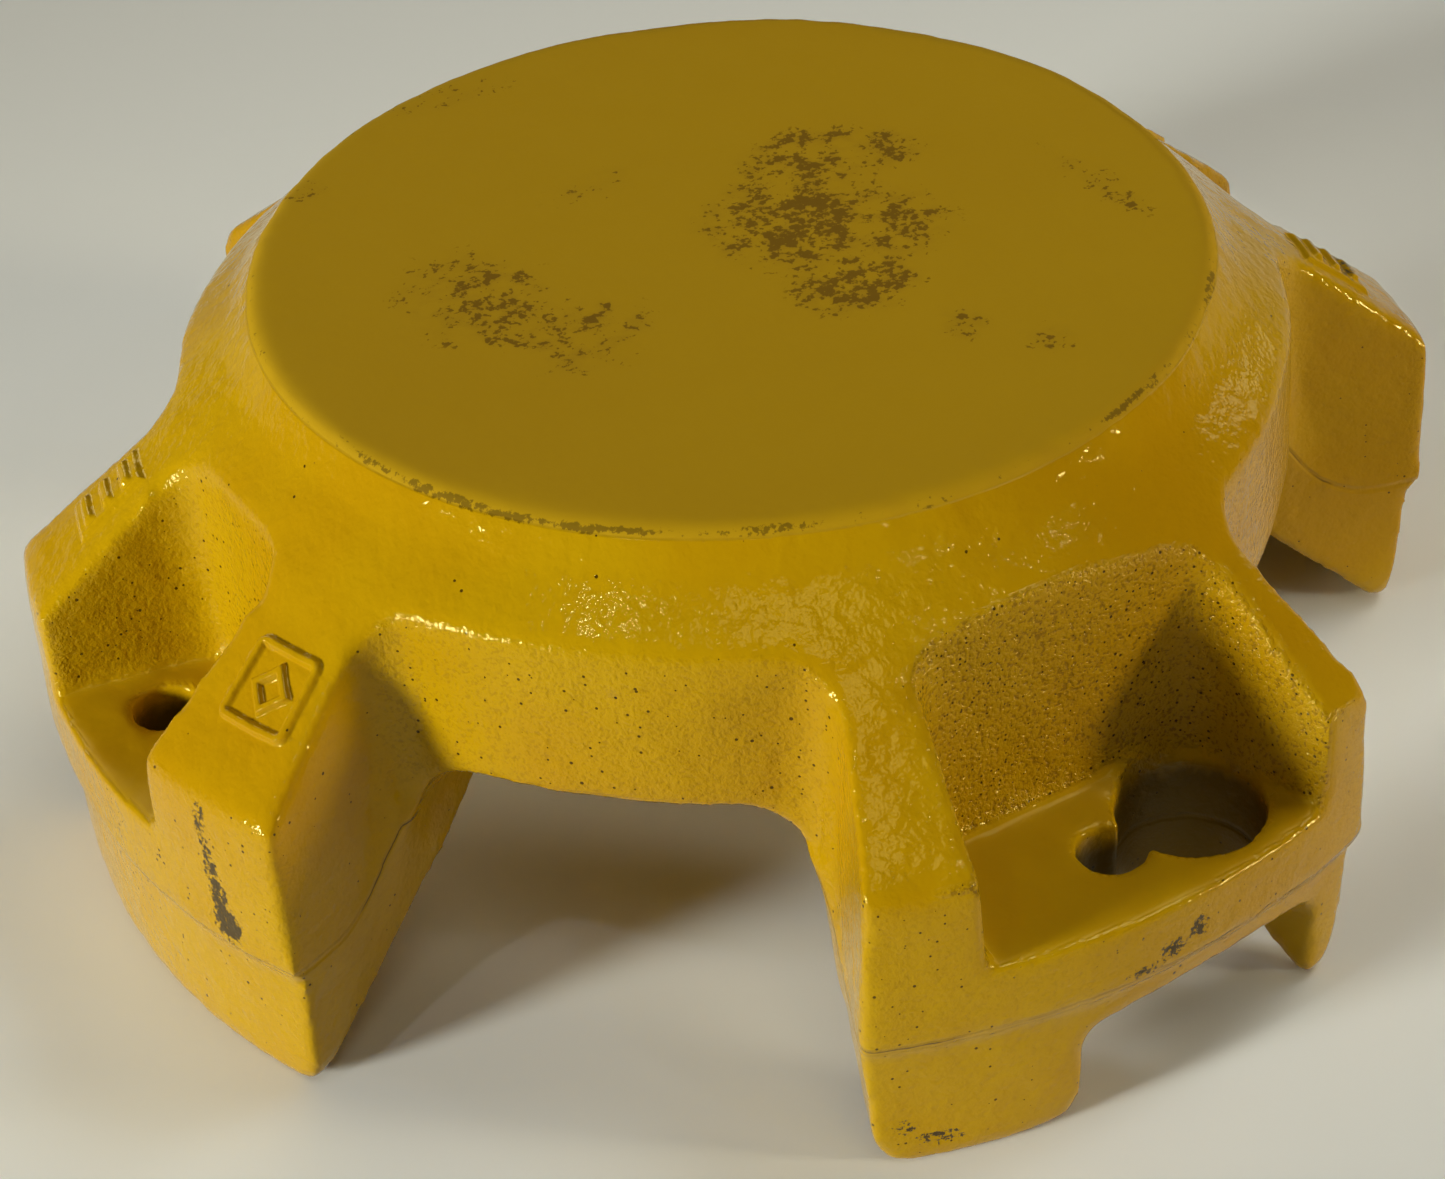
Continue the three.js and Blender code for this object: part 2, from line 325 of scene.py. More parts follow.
# Each mark: height function, centre radius, centre angle, half width, half length.
MARKS = (
    (framed_diamond, 174.8, 196.2, 11.6, 11.8),
    (ruled_pad, 173.8, 162.8, 8.2, 12.5),
    (framed_diamond, 174.8, 16.2, 11.6, 11.8),
    (ruled_pad, 173.8, 342.8, 8.2, 12.5),
)
CONE_TILT = math.radians(39.5)
MARKS_LOW_Z = 78.0
MARK_REACH = 20.0


def mark_coordinates(points, centre_radius, centre_angle):
    """Distances across (u) and down the slope (v) from a mark's centre, and what lies near it."""
    radius, angle = polar(points)
    off = offset_angle(angle, centre_angle)
    u = centre_radius * np.radians(off)
    v = (radius - centre_radius) / math.cos(CONE_TILT)
    return u, v, (points[:, 2] > MARKS_LOW_Z) & (np.abs(off) < MARK_REACH)


def on_marks(points, normals):
    chosen = np.zeros(len(points), bool)
    for _, radius, angle, half_u, half_v in MARKS:
        u, v, top = mark_coordinates(points, radius, angle)
        inside = (np.abs(u) < half_u + 1.5) & (np.abs(v) < half_v + 1.5)
        chosen |= inside & top & (normals[:, 2] > 0.3)
    return chosen


def refine_marks(mesh):
    """Splits the surface finely where a raised mark will stand."""
    grid = bmesh.new()
    grid.from_mesh(mesh)
    grid.edges.ensure_lookup_table()
    chosen = on_marks(get_points(mesh), get_normals(mesh))
    edges = get_edges(mesh)
    picked = np.nonzero(chosen[edges].all(axis=1))[0]
    selected = [grid.edges[i] for i in picked]
    bmesh.ops.subdivide_edges(grid, edges=selected, cuts=3, use_grid_fill=True)
    grid.to_mesh(mesh)
    grid.free()
    mesh.update()


def raise_marks(points, normals):
    lift = np.zeros(len(points))
    for height, radius, angle, half_u, half_v in MARKS:
        u, v, top = mark_coordinates(points, radius, angle)
        inside = (np.abs(u) < half_u + 2.0) & (np.abs(v) < half_v + 2.0)
        inside &= top & (normals[:, 2] > 0.4)
        lift[inside] = np.maximum(lift[inside], height(u[inside], v[inside], half_u, half_v))
    return points + normals * lift[:, None]


# ---- Casting body -------------------------------------------------------------------------


def cap_rim(points):
    radius, _ = polar(points)
    outside = smoothstep(*RIM_INNER, radius) * (1.0 - smoothstep(*RIM_OUTER, radius))
    return (points[:, 2] > RIM_LOW_Z) * outside


def hole_edges(points):
    low, high = HOLE_EDGE_Z
    z = points[:, 2]
    return (np.abs(hole_distance(points)) < HOLE_EDGE_REACH) & (z > low) & (z < high)


def band_foot(points):
    """The hollow between the cap's band and the conical body."""
    radius, _ = polar(points)
    band = smoothstep(*BAND_INNER, radius) * (1.0 - smoothstep(*BAND_OUTER, radius))
    return band * smoothstep(*BAND_LOW_Z, points[:, 2])


def pocket_corners(points):
    """The upright corners at the back of each pocket."""
    radius, angle = polar(points)
    z = points[:, 2]
    corners = np.zeros(len(points))
    start, end = CORNER_ABOVE_FLOOR
    for leg, (low, high, floor_z) in POCKETS.items():
        off = offset_angle(angle, leg)
        side = np.minimum(np.abs(off - low), np.abs(off - high))
        corner = (1.0 - smoothstep(*CORNER_REACH, side)) * (1.0 - smoothstep(*CORNER_OUTER, radius))
        corner *= smoothstep(*CORNER_INNER, radius) * smoothstep(floor_z + start, floor_z + end, z)
        corners = np.maximum(corners, corner * (1.0 - smoothstep(*CORNER_HIGH_Z, z)))
    return corners


def round_edges(points, edges):
    """Cast edges are soft, the cap's rim is crisp and the pockets' back corners are softest."""
    crisp = np.maximum(cap_rim(points), HOLE_EDGE_CRISP * hole_edges(points))
    points = smooth(points, edges, np.ones(len(points)), RIM_ROUNDS)
    points = smooth(points, edges, 1.0 - crisp, EDGE_ROUNDS - RIM_ROUNDS)
    corners = pocket_corners(points)
    band = band_foot(points)
    points = smooth(points, edges, corners, POCKET_ROUNDS)
    points = smooth(points, edges, band, BAND_ROUNDS)
    return smooth(points, edges, 1.0 - smoothstep(*FOOT_Z, points[:, 2]), FOOT_ROUNDS)


def level_feet(points):
    """Rounding lifts the foot tips, so the lowest part is stretched back to the ground."""
    low = points[:, 2] < FOOT_STRETCH
    lowest = points[:, 2].min()
    fade = np.clip(1.0 - points[low, 2] / FOOT_STRETCH, 0.0, 1.0)
    points[low, 2] -= lowest * fade * FOOT_STRETCH / (FOOT_STRETCH - lowest)
    return points


def seam_height(radius):
    """Height of the parting seam: level on the outer wall, climbing towards the body."""
    climb = np.clip((SEAM_CLIMB_START - radius) / SEAM_CLIMB_LENGTH, 0.0, 1.0)
    return PARTING_Z + SEAM_CLIMB * climb ** 2


def leg_crease(points, normals):
    """On each leg face the parting crease climbs in an arc towards the body."""
    radius, angle = polar(points)
    off = nearest_leg(angle)
    tangent = np.stack([-np.sin(np.radians(angle)), np.cos(np.radians(angle)), 0 * angle], axis=1)
    facing = np.abs((normals * tangent).sum(axis=1))
    on_face = smoothstep(*CREASE_FACING, facing) * (np.abs(np.abs(off) - LEG_HALF_ANGLE) < CREASE_ANGLE)
    crease = seam_height(radius)
    z = points[:, 2]
    proud = np.where(z < crease, z - PARTING_Z, crease - PARTING_Z - CREASE_FALL * (z - crease))
    proud = np.clip(proud, 0.0, None) * CREASE_SLOPE
    proud *= on_face * smoothstep(*CREASE_INNER, radius)
    outward = tangent * np.sign(off)[:, None]
    return points + outward * proud[:, None]


def surface_relief(points, normals):
    """Uneven sand-mould surface, in long soft waves and a coarser grain."""
    radius, _ = polar(points)
    cap = (1.0 - smoothstep(*CAP_EDGE, radius)) * (points[:, 2] > CAP_LOW_Z)
    amount = np.zeros(len(points))
    for height, wavelength, seed, waves in RELIEF:
        amount += height * wave_field(points, wavelength, seed, waves)
    amount *= 1.0 - CAP_FLATNESS * cap
    return points + normals * amount[:, None]


def keep_inside(points):
    low = np.array(cad_low) / MM
    high = np.array(cad_high) / MM
    return np.clip(points, low, high)


def make_casting():
    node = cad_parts[CASTING]
    mesh = voxel_copy(node, VOXEL)
    points = round_edges(get_points(mesh), get_edges(mesh))
    points = level_feet(points)
    set_points(mesh, points)
    refine_marks(mesh)
    points = get_points(mesh)
    normals = get_normals(mesh)
    points = leg_crease(points, normals)
    set_points(mesh, points)
    normals = get_normals(mesh)
    points = surface_relief(points, normals)
    points = raise_marks(points, normals)
    set_points(mesh, keep_inside(points))
    mesh.name = "casting_surface"
    body = bpy.data.objects.new("casting_surface", mesh)
    bpy.context.scene.collection.objects.link(body)
    thin_mesh(body)
    body.data.polygons.foreach_set("use_smooth", np.ones(len(body.data.polygons), bool))
    return body


def thin_mesh(body):
    """Brings the face count down, keeping the points where the surface bends and the marks."""
    triangles = sum(len(p.vertices) - 2 for p in body.data.polygons)
    if triangles <= FINAL_FACES:
        return
    points = get_points(body.data)
    radius, _ = polar(points)
    inner, outer = KEPT_RIM
    rim = (radius > inner) & (radius < outer) & (points[:, 2] > KEPT_RIM_LOW_Z)
    plain = np.nonzero(~rim & ~on_marks(points, get_normals(body.data)))[0]
    body.vertex_groups.new(name="plain").add(plain.tolist(), 1.0, "REPLACE")
    thin = body.modifiers.new("thin", "DECIMATE")
    thin.ratio = FINAL_FACES / triangles
    thin.vertex_group = "plain"
    bpy.context.view_layer.update()
    depsgraph = bpy.context.evaluated_depsgraph_get()
    mesh = bpy.data.meshes.new_from_object(body.evaluated_get(depsgraph))
    body.modifiers.clear()
    body.data = mesh


# ---- Surface zones ------------------------------------------------------------------------


def add_zone(mesh, name, values):
    layer = mesh.attributes.new(name, "FLOAT", "POINT")
    layer.data.foreach_set("value", np.clip(values, 0.0, 1.0).astype(np.float32))


def hole_distance(points):
    """Distance outside the nearest bolt hole or keyhole end."""
    holes = [(leg + NARROW_HOLE_ANGLE, BOLT_HOLE_RADIUS) for leg in NARROW_LEGS]
    holes += [(leg + SLOT_ANGLE, BOLT_HOLE_RADIUS) for leg in WIDE_LEGS]
    holes += [(leg + KEYHOLE_ANGLE, KEYHOLE_RADIUS) for leg in WIDE_LEGS]
    nearest = np.full(len(points), 1e3)
    for angle, size in holes:
        x = BOLT_CIRCLE * math.cos(math.radians(angle))
        y = BOLT_CIRCLE * math.sin(math.radians(angle))
        nearest = np.minimum(nearest, np.hypot(points[:, 0] - x, points[:, 1] - y) - size)
    return nearest


# Zones that the material reads, and their limits. An UP limit is on how far a surface faces up.
ZONES = ("grain", "pits", "pocket_floor", "hole_shade", "seam", "seam_face")
POCKET_MARGIN = 3.2
POCKET_RADII = (144.0, 199.0)
POCKET_WALL_UP = (0.45, 0.65)
POCKET_FLOOR_UP = (0.75, 0.9)
FLOOR_DEPTH = 3.0
NARROW_POCKET_GRAIN = 0.32
STEEP_UP = (0.35, 0.6)
GAP_OUTER = (160.0, 168.0)
GAP_LOW_Z = (78.0, 84.0)
GAP_HIGH_Z = (132.0, 138.0)
OUTER_WALL = (193.0, 196.0)
SKIRT_Z = (43.0, 46.0)
LEG_FACE_ANGLE = 3.5
LEG_FACE_INNER = 120.0
LEG_FACE_HIGH_Z = 130.0
SEAM_INNER = 150.0
HOLE_REACH = 1.2
HOLE_UP = 0.4
HOLE_HIGH_Z = (61.0, 66.0)
CAP_Z = (153.6, 155.0)
CAP_OUTER = (129.0, 130.6)


def pocket_zones(points, up):
    """The pockets' walls, the narrow ones smoother, and the pockets' floors."""
    radius, angle = polar(points)
    z = points[:, 2]
    back, front = POCKET_RADII
    walls = np.zeros(len(points))
    floors = np.zeros(len(points))
    for leg, (low, high, floor_z) in POCKETS.items():
        off = offset_angle(angle, leg)
        inside = (off > low - POCKET_MARGIN) & (off < high + POCKET_MARGIN)
        inside &= (radius > back) & (radius < front)
        above = smoothstep(floor_z - 1.0, floor_z + 1.5, z)
        wall = inside * (1.0 - smoothstep(*POCKET_WALL_UP, up)) * above
        walls = np.maximum(walls, wall * (NARROW_POCKET_GRAIN if leg in NARROW_LEGS else 1.0))
        flat = inside * smoothstep(*POCKET_FLOOR_UP, up) * (np.abs(z - floor_z) < FLOOR_DEPTH)
        floors = np.maximum(floors, flat)
    return walls, floors


def paint_zones(body):
    """Stores how rough and pitted each part of the surface is, where painted shade darkens the holes'
    insides, and where the seam runs.
    """
    mesh = body.data
    points = get_points(mesh)
    up = get_normals(mesh)[:, 2]
    radius, angle = polar(points)
    z = points[:, 2]
    cap = smoothstep(*CAP_Z, z) * (1.0 - smoothstep(*CAP_OUTER, radius))
    in_pocket, floor = pocket_zones(points, up)
    off = np.abs(nearest_leg(angle))
    steep = 1.0 - smoothstep(*STEEP_UP, np.abs(up))
    gap_wall = steep * smoothstep(LEG_HALF_ANGLE - 1.0, LEG_HALF_ANGLE + 1.0, off)
    gap_wall *= (1.0 - smoothstep(*GAP_OUTER, radius)) * smoothstep(*GAP_LOW_Z, z)
    gap_wall *= 1.0 - smoothstep(*GAP_HIGH_Z, z)
    outer_wall = smoothstep(*OUTER_WALL, radius) * steep
    skirt = 1.0 - smoothstep(*SKIRT_Z, z)
    leg_face = steep * (np.abs(off - LEG_HALF_ANGLE) < LEG_FACE_ANGLE)
    leg_face *= (radius > LEG_FACE_INNER) * (z < LEG_FACE_HIGH_Z)
    by_hole = hole_distance(points) < HOLE_REACH
    hole = by_hole & (np.abs(up) < HOLE_UP) & (z < HOLE_HIGH_Z[1])

    grain = 0.04 + 0.8 * in_pocket + 0.32 * gap_wall + 0.16 * outer_wall * (1.0 - 0.5 * skirt)
    grain += 0.06 * leg_face * (1.0 - 0.5 * skirt) + 0.1 * hole
    grain *= (1.0 - 0.5 * floor) * (1.0 - 0.7 * cap)
    pits = 0.015 + 0.97 * in_pocket + 0.32 * gap_wall + 0.26 * outer_wall * (1.0 - 0.4 * skirt)
    pits += 0.08 * leg_face + 0.1 * hole
    pits *= (1.0 - 0.8 * floor) * (1.0 - cap)
    # Painted shade: the insides of the holes, below the pocket floors, are marked for darkening in the
    # material.
    hole_shade = by_hole * (1.0 - smoothstep(*HOLE_HIGH_Z, z))
    seam = z - np.where(hole, PARTING_Z, seam_height(radius))
    seam_face = np.maximum(outer_wall, leg_face * (radius > SEAM_INNER))
    values = (grain, pits, floor, hole_shade, 0.5 + seam / SEAM_RANGE, np.maximum(seam_face, hole))
    for name, value in zip(ZONES, values):
        add_zone(mesh, name, value)


# ---- Material -----------------------------------------------------------------------------


BLOB_CORE = 0.35


class Nodes:
    """Small helper that adds and links shader nodes."""

    def __init__(self, material):
        self.tree = material.node_tree
        self.tree.nodes.clear()
        self.position = self.add("ShaderNodeTexCoord").outputs["Object"]

    def add(self, kind, **inputs):
        node = self.tree.nodes.new(kind)
        for name, value in inputs.items():
            self.feed(node, name, value)
        return node

    def feed(self, node, name, value):
        """Links or sets an input: i0, i1 and so on by its number, any other by its name."""
        key = int(name[1:]) if name[0] == "i" and name[1:].isdigit() else name.replace("_", " ")
        socket = node.inputs[key]
        if isinstance(value, bpy.types.NodeSocket):
            self.tree.links.new(value, socket)
        else:
            socket.default_value = value

    def math(self, operation, first, second=0.0, clamp=False):
        node = self.add("ShaderNodeMath", i0=first, i1=second)
        node.operation = operation
        node.use_clamp = clamp
        return node.outputs[0]

    def plus(self, first, second):
        return self.math("ADD", first, second)

    def minus(self, first, second):
        return self.math("SUBTRACT", first, second)

    def times(self, first, second):
        return self.math("MULTIPLY", first, second)

    def vector(self, operation, first, second=(0.0, 0.0, 0.0)):
        node = self.add("ShaderNodeVectorMath", i0=first, i1=second)
        node.operation = operation
        return node

    def ramp(self, value, low, high):
        """0 at low, 1 at high, smooth between."""
        node = self.add("ShaderNodeMapRange", Value=value, From_Min=low, From_Max=high)
        node.interpolation_type = "SMOOTHSTEP"
        return node.outputs["Result"]

    def noise(self, scale, detail=2.0, roughness=0.5):
        node = self.add("ShaderNodeTexNoise", Scale=scale, Detail=detail, Roughness=roughness)
        self.feed(node, "Vector", self.position)
        return node.outputs["Fac"]

    def zone(self, name):
        node = self.add("ShaderNodeAttribute")
        node.attribute_name = name
        return node.outputs["Fac"]

    def mix(self, amount, first, second):
        node = self.add("ShaderNodeMix")
        node.data_type = "RGBA"
        self.feed(node, "i0", amount)
        self.feed(node, "i6", first)
        self.feed(node, "i7", second)
        return node.outputs[2]

    def blob(self, centre, size):
        """1 near a place on the part, fading to 0 at the ellipsoid's edge."""
        place = self.vector("SUBTRACT", self.position, [c * MM for c in centre])
        scaled = self.vector("MULTIPLY", place.outputs[0], [1.0 / (s * MM) for s in size])
        length = self.vector("LENGTH", scaled.outputs[0])
        return self.ramp(length.outputs["Value"], 1.0, BLOB_CORE)

    def largest(self, values):
        result = values[0]
        for value in values[1:]:
            result = self.math("MAXIMUM", result, value)
        return result

    def spots(self, rows):
        """The strongest of several blobs at each point."""
        blobs = [self.times(self.blob(centre, size), strength) for centre, size, strength in rows]
        return self.largest(blobs)


PAINT = (0.425, 0.246, 0.0015, 1.0)
PAINT_DEEP = (0.385, 0.2, 0.001, 1.0)
# Painted shade: the cap's top is made a little darker than the rest of the paint.
CAP_SHADE_COLOUR = (0.385, 0.224, 0.002, 1.0)
PAINT_THIN = (0.19, 0.095, 0.004, 1.0)
PAINT_WORN = (0.135, 0.066, 0.005, 1.0)
# Painted shade for the insides of the holes.
HOLE_SHADE_COLOUR = (0.1, 0.052, 0.002, 1.0)
BARE_IRON = (0.055, 0.034, 0.016, 1.0)
PIT_COLOUR = (0.035, 0.014, 0.001, 1.0)

# Worn patches on the cap: centre x and y, size along x and y (millimetres) and strength.
CAP_PATCHES = (
    (20.0, 2.0, 34.0, 34.0, 1.0),
    (40.0, 26.0, 30.0, 22.0, 0.9),
    (18.0, -36.0, 24.0, 20.0, 1.0),
    (40.0, -14.0, 26.0, 28.0, 0.8),
    (62.0, 18.0, 22.0, 16.0, 0.6),
    (-68.0, 18.0, 28.0, 34.0, 0.65),
    (-54.0, -14.0, 27.0, 24.0, 0.7),
    (44.0, -88.0, 12.0, 10.0, 0.45),
    (28.0, -68.0, 12.0, 12.0, 0.5),
    (100.0, -30.0, 9.0, 34.0, 0.4),
    (-20.0, 118.0, 34.0, 9.0, 0.4),
    (-76.0, 96.0, 14.0, 10.0, 0.45),
    (-12.0, 50.0, 22.0, 12.0, 0.35),
)
PATCH_DEPTH = 12.0
CAP_WEAR = [((x, y, HEIGHT), (a, b, PATCH_DEPTH), strength) for x, y, a, b, strength in CAP_PATCHES]
# Chipped spots: centre, size (millimetres) and strength.
CHIPS = (
    ((-193.3, -51.5, 84.0), (4.0, 3.5, 12.0), 0.62),
    ((-193.0, -53.0, 73.0), (4.0, 4.0, 12.0), 0.74),
    ((-192.6, -54.5, 63.0), (5.0, 5.0, 9.0), 0.86),
    ((-192.0, -56.0, 54.0), (7.0, 7.5, 8.5), 1.0),
    ((-1.0, -200.0, 52.0), (6.5, 6.0, 4.5), 0.72),
    ((7.0, -199.8, 55.0), (5.0, 6.0, 5.0), 0.72),
    ((-9.0, -200.0, 49.0), (9.0, 6.0, 2.5), 0.6),
    ((-62.0, -185.0, 9.0), (11.0, 6.0, 4.0), 0.6),
    ((-71.0, -182.0, 14.0), (5.0, 6.0, 4.0), 0.6),
    ((170.0, -52.0, 112.0), (12.0, 10.0, 8.0), 0.62),
    ((193.0, 52.0, 74.0), (4.0, 5.0, 12.0), 0.6),
    ((70.0, 183.0, 30.0), (8.0, 6.0, 5.0), 0.62),
)
# Worn lengths of the cap's rim: centre x and y, size (millimetres) and strength.
RIM_PATCHES = (
    (-121.0, -44.0, 26.0, 0.7),
    (-109.0, -68.0, 26.0, 0.9),
    (-92.0, -89.0, 24.0, 0.9),
    (-64.0, -112.0, 24.0, 0.6),
    (42.0, -122.0, 18.0, 0.75),
    (91.0, -91.0, 14.0, 0.75),
    (121.0, 44.0, 24.0, 0.8),
    (-44.0, 121.0, 26.0, 0.7),
)
RIM_MIDDLE_Z = 156.0
RIM_WEAR = [((x, y, RIM_MIDDLE_Z), (size,) * 3, strength) for x, y, size, strength in RIM_PATCHES]
RIM_RADIUS = 129.2

# Limits of the cap and its rim in the material, in metres, from 0 to 1 of their strength.
CAP_SIDE = (0.1309, 0.1301)
CAP_TOP = (0.1538, 0.1546)
RIM_SIDE = (0.0014, 0.0)
RIM_TOP = (0.151, 0.1535)

# Two sizes of pinhole: cells per metre, share of them with a hole, least size and its spread.
PINHOLES = ((540.0, 0.65, 0.1, 0.17), (230.0, 0.34, 0.04, 0.09))
# Brushed ripple: waves per metre and height of each layer.
RIPPLE = ((80.0, 0.14), (260.0, 0.42), (620.0, 0.12))

PAINT_IOR = 1.38
PAINT_REFLECTION = (1.0, 0.86, 0.36, 1.0)
PAINT_ROUGHNESS = 0.04


def sound_paint(n, cap, grain, hole_shade, sand, broad, mottle):
    """Uneven paint, thinner in the grain's valleys, with painted shade making the cap's top a little
    darker and the insides of the holes darkest.
    """
    colour = n.mix(n.ramp(broad, 0.35, 0.7), PAINT, PAINT_DEEP)
    colour = n.mix(n.times(n.ramp(mottle, 0.45, 0.75), 0.25), colour, PAINT_DEEP)
    # Painted shade on the cap's top, for the weak light from above.
    colour = n.mix(n.times(cap, 0.85), colour, CAP_SHADE_COLOUR)
    valley = n.times(n.ramp(sand, 0.49, 0.36), grain)
    colour = n.mix(n.times(valley, 0.85), colour, PAINT_THIN)
    # Painted shade: the insides of the holes are darkened most.
    return n.mix(n.times(hole_shade, 0.9), colour, HOLE_SHADE_COLOUR)


def pinholes(n, pits):
    """Small dark dots, many on the rough pocket walls and few elsewhere."""
    holes = []
    for scale, share, least, spread in PINHOLES:
        cells = n.add("ShaderNodeTexVoronoi", Vector=n.position, Scale=scale, Randomness=1.0)
        chance = n.add("ShaderNodeSeparateColor", Color=cells.outputs["Color"])
        here = n.math("LESS_THAN", chance.outputs[0], n.times(pits, share))
        size = n.plus(n.times(chance.outputs[1], spread), least)
        dot = n.minus(size, cells.outputs["Distance"])
        holes.append(n.times(n.ramp(dot, 0.0, 0.04), here))
    return n.largest(holes)


def cap_wear(n, cap):
    """Worn speckle in the cap's patches, and the smudge round it."""
    speck = n.noise(520.0, 3.0, 0.6)
    clump = n.noise(150.0)
    speckle = n.plus(n.times(speck, 0.55), n.times(clump, 0.45))
    patches = n.times(n.spots(CAP_WEAR), cap)
    level = n.minus(0.63, n.times(patches, 0.135))
    worn = n.ramp(n.minus(speckle, level), -0.015, 0.03)
    worn = n.times(worn, n.ramp(patches, 0.02, 0.25))
    smudge = n.times(n.ramp(patches, 0.1, 0.9), n.ramp(clump, 0.35, 0.65))
    return worn, smudge


def rim_wear(n, radius, z):
    """Dark specks along the worn lengths of the cap's rim."""
    rim = n.math("ABSOLUTE", n.minus(radius, RIM_RADIUS * MM))
    rim = n.times(n.ramp(rim, *RIM_SIDE), n.ramp(z, *RIM_TOP))
    patches = n.spots(RIM_WEAR)
    specks = n.plus(n.noise(620.0, 3.0, 0.6), n.times(n.noise(90.0), 0.5))
    level = n.plus(specks, n.times(n.times(rim, patches), 0.295))
    return n.times(n.ramp(level, 0.86, 0.98), n.ramp(rim, 0.0, 0.3))


def chipped(n):
    """Chips down to bare iron."""
    chips = n.spots(CHIPS)
    specks = n.noise(620.0, 4.0, 0.7)
    chip = n.ramp(n.plus(n.times(chips, 0.3), specks), 0.67, 0.71)
    return n.times(chip, n.ramp(chips, 0.0, 0.2))


def seam_marks(n, seam, seam_face):
    """Thin dark line where the mould halves met, and the shallow groove round it."""
    away = n.times(n.minus(seam, 0.5), SEAM_RANGE)
    wander = n.times(n.minus(n.noise(45.0, 3.0), 0.5), 3.0)
    away = n.math("ABSOLUTE", n.plus(away, wander))
    line = n.times(n.ramp(away, 0.55, 0.15), seam_face)
    groove = n.times(n.ramp(away, 1.6, 0.2), seam_face)
    line = n.times(line, n.ramp(n.noise(30.0, 3.0), 0.42, 0.56))
    return line, groove


def surface_bump(n, sand, grain, flat, hole, bare_and_hole_shade, groove):
    """Sand grain and brushed ripple, with the pinholes, worn edges, chips, the painted-shade insides of
    the holes and seam sunk in.
    """
    height = n.times(sand, n.times(grain, 1.2))
    ripple = None
    for scale, amount in RIPPLE:
        layer = n.times(n.noise(scale), amount)
        ripple = n.plus(ripple, layer) if ripple else layer
    height = n.plus(height, n.times(ripple, n.minus(1.0, n.times(flat, 0.8))))
    for sunk, depth in ((hole, 0.45), (bare_and_hole_shade, 0.08), (groove, 0.3)):
        height = n.minus(height, n.times(sunk, depth))
    return n.add("ShaderNodeBump", Height=height, Distance=MM, Strength=1.0).outputs[0]


def enamel_material():
    """Gloss yellow enamel, brushed thick over rough sand-cast iron."""
    material = bpy.data.materials.new("gloss_yellow_enamel")
    material.use_nodes = True
    n = Nodes(material)
    x, y, z = n.add("ShaderNodeSeparateXYZ", Vector=n.position).outputs
    radius = n.math("SQRT", n.plus(n.times(x, x), n.times(y, y)))
    grain, pits, floor, hole_shade, seam, seam_face = (n.zone(name) for name in ZONES)
    cap = n.times(n.ramp(radius, *CAP_SIDE), n.ramp(z, *CAP_TOP))
    flat = n.math("MAXIMUM", cap, floor)
    fine = n.noise(900.0, 2.0, 0.6)
    coarse = n.noise(450.0)
    sand = n.plus(n.times(fine, 0.6), n.times(coarse, 0.4))
    broad = n.noise(9.0, 3.0)
    mottle = n.noise(70.0, 4.0, 0.6)

    colour = sound_paint(n, cap, grain, hole_shade, sand, broad, mottle)
    hole = pinholes(n, pits)
    worn, smudge = cap_wear(n, cap)
    rim_worn = rim_wear(n, radius, z)
    chip = chipped(n)
    line, groove = seam_marks(n, seam, seam_face)
    colour = n.mix(n.times(smudge, 0.3), colour, PAINT_THIN)
    colour = n.mix(n.times(worn, 0.85), colour, PAINT_WORN)
    colour = n.mix(n.times(rim_worn, 0.62), colour, PIT_COLOUR)
    colour = n.mix(n.times(line, 0.8), colour, PIT_COLOUR)
    colour = n.mix(chip, colour, BARE_IRON)
    colour = n.mix(n.times(hole, 0.9), colour, PIT_COLOUR)
    # Worn patches, chips and the painted-shade insides of the holes are sunk a little and made rougher.
    bare_and_hole_shade = n.largest([worn, chip, hole_shade])
    bump = surface_bump(n, sand, grain, flat, hole, bare_and_hole_shade, groove)

    rough = n.plus(PAINT_ROUGHNESS, n.times(mottle, 0.09))
    for dull, amount in ((floor, 0.25), (cap, 0.72), (grain, 0.08)):
        rough = n.plus(rough, n.times(dull, amount))
    rough = n.math("ADD", rough, n.times(bare_and_hole_shade, 0.35), clamp=True)

    shader = n.add("ShaderNodeBsdfPrincipled", Base_Color=colour, Roughness=rough, Normal=bump)
    shader.inputs["IOR"].default_value = PAINT_IOR
    shader.inputs["Specular Tint"].default_value = PAINT_REFLECTION
    output = n.add("ShaderNodeOutputMaterial")
    n.feed(output, "Surface", shader.outputs[0])
    return material


# ---- Stage --------------------------------------------------------------------------------


FLOOR_RADIUS = 2.3
FLOOR_SIDES = 128
FLOOR_COLOUR = (0.82, 0.83, 0.98, 1.0)
FLOOR_ROUGHNESS = 0.9


def make_floor():
    mesh = bpy.data.meshes.new("studio_floor")
    turns = [2.0 * math.pi * i / FLOOR_SIDES for i in range(FLOOR_SIDES)]
    rim = [(FLOOR_RADIUS * math.cos(t), FLOOR_RADIUS * math.sin(t), 0.0) for t in turns]
    mesh.from_pydata(rim, [], [tuple(range(FLOOR_SIDES))])
    floor = bpy.data.objects.new("studio_floor", mesh)
    bpy.context.scene.collection.objects.link(floor)
    material = bpy.data.materials.new("pale_floor")
    material.use_nodes = True
    shader = material.node_tree.nodes["Principled BSDF"]
    shader.inputs["Base Color"].default_value = FLOOR_COLOUR
    shader.inputs["Roughness"].default_value = FLOOR_ROUGHNESS
    mesh.materials.append(material)


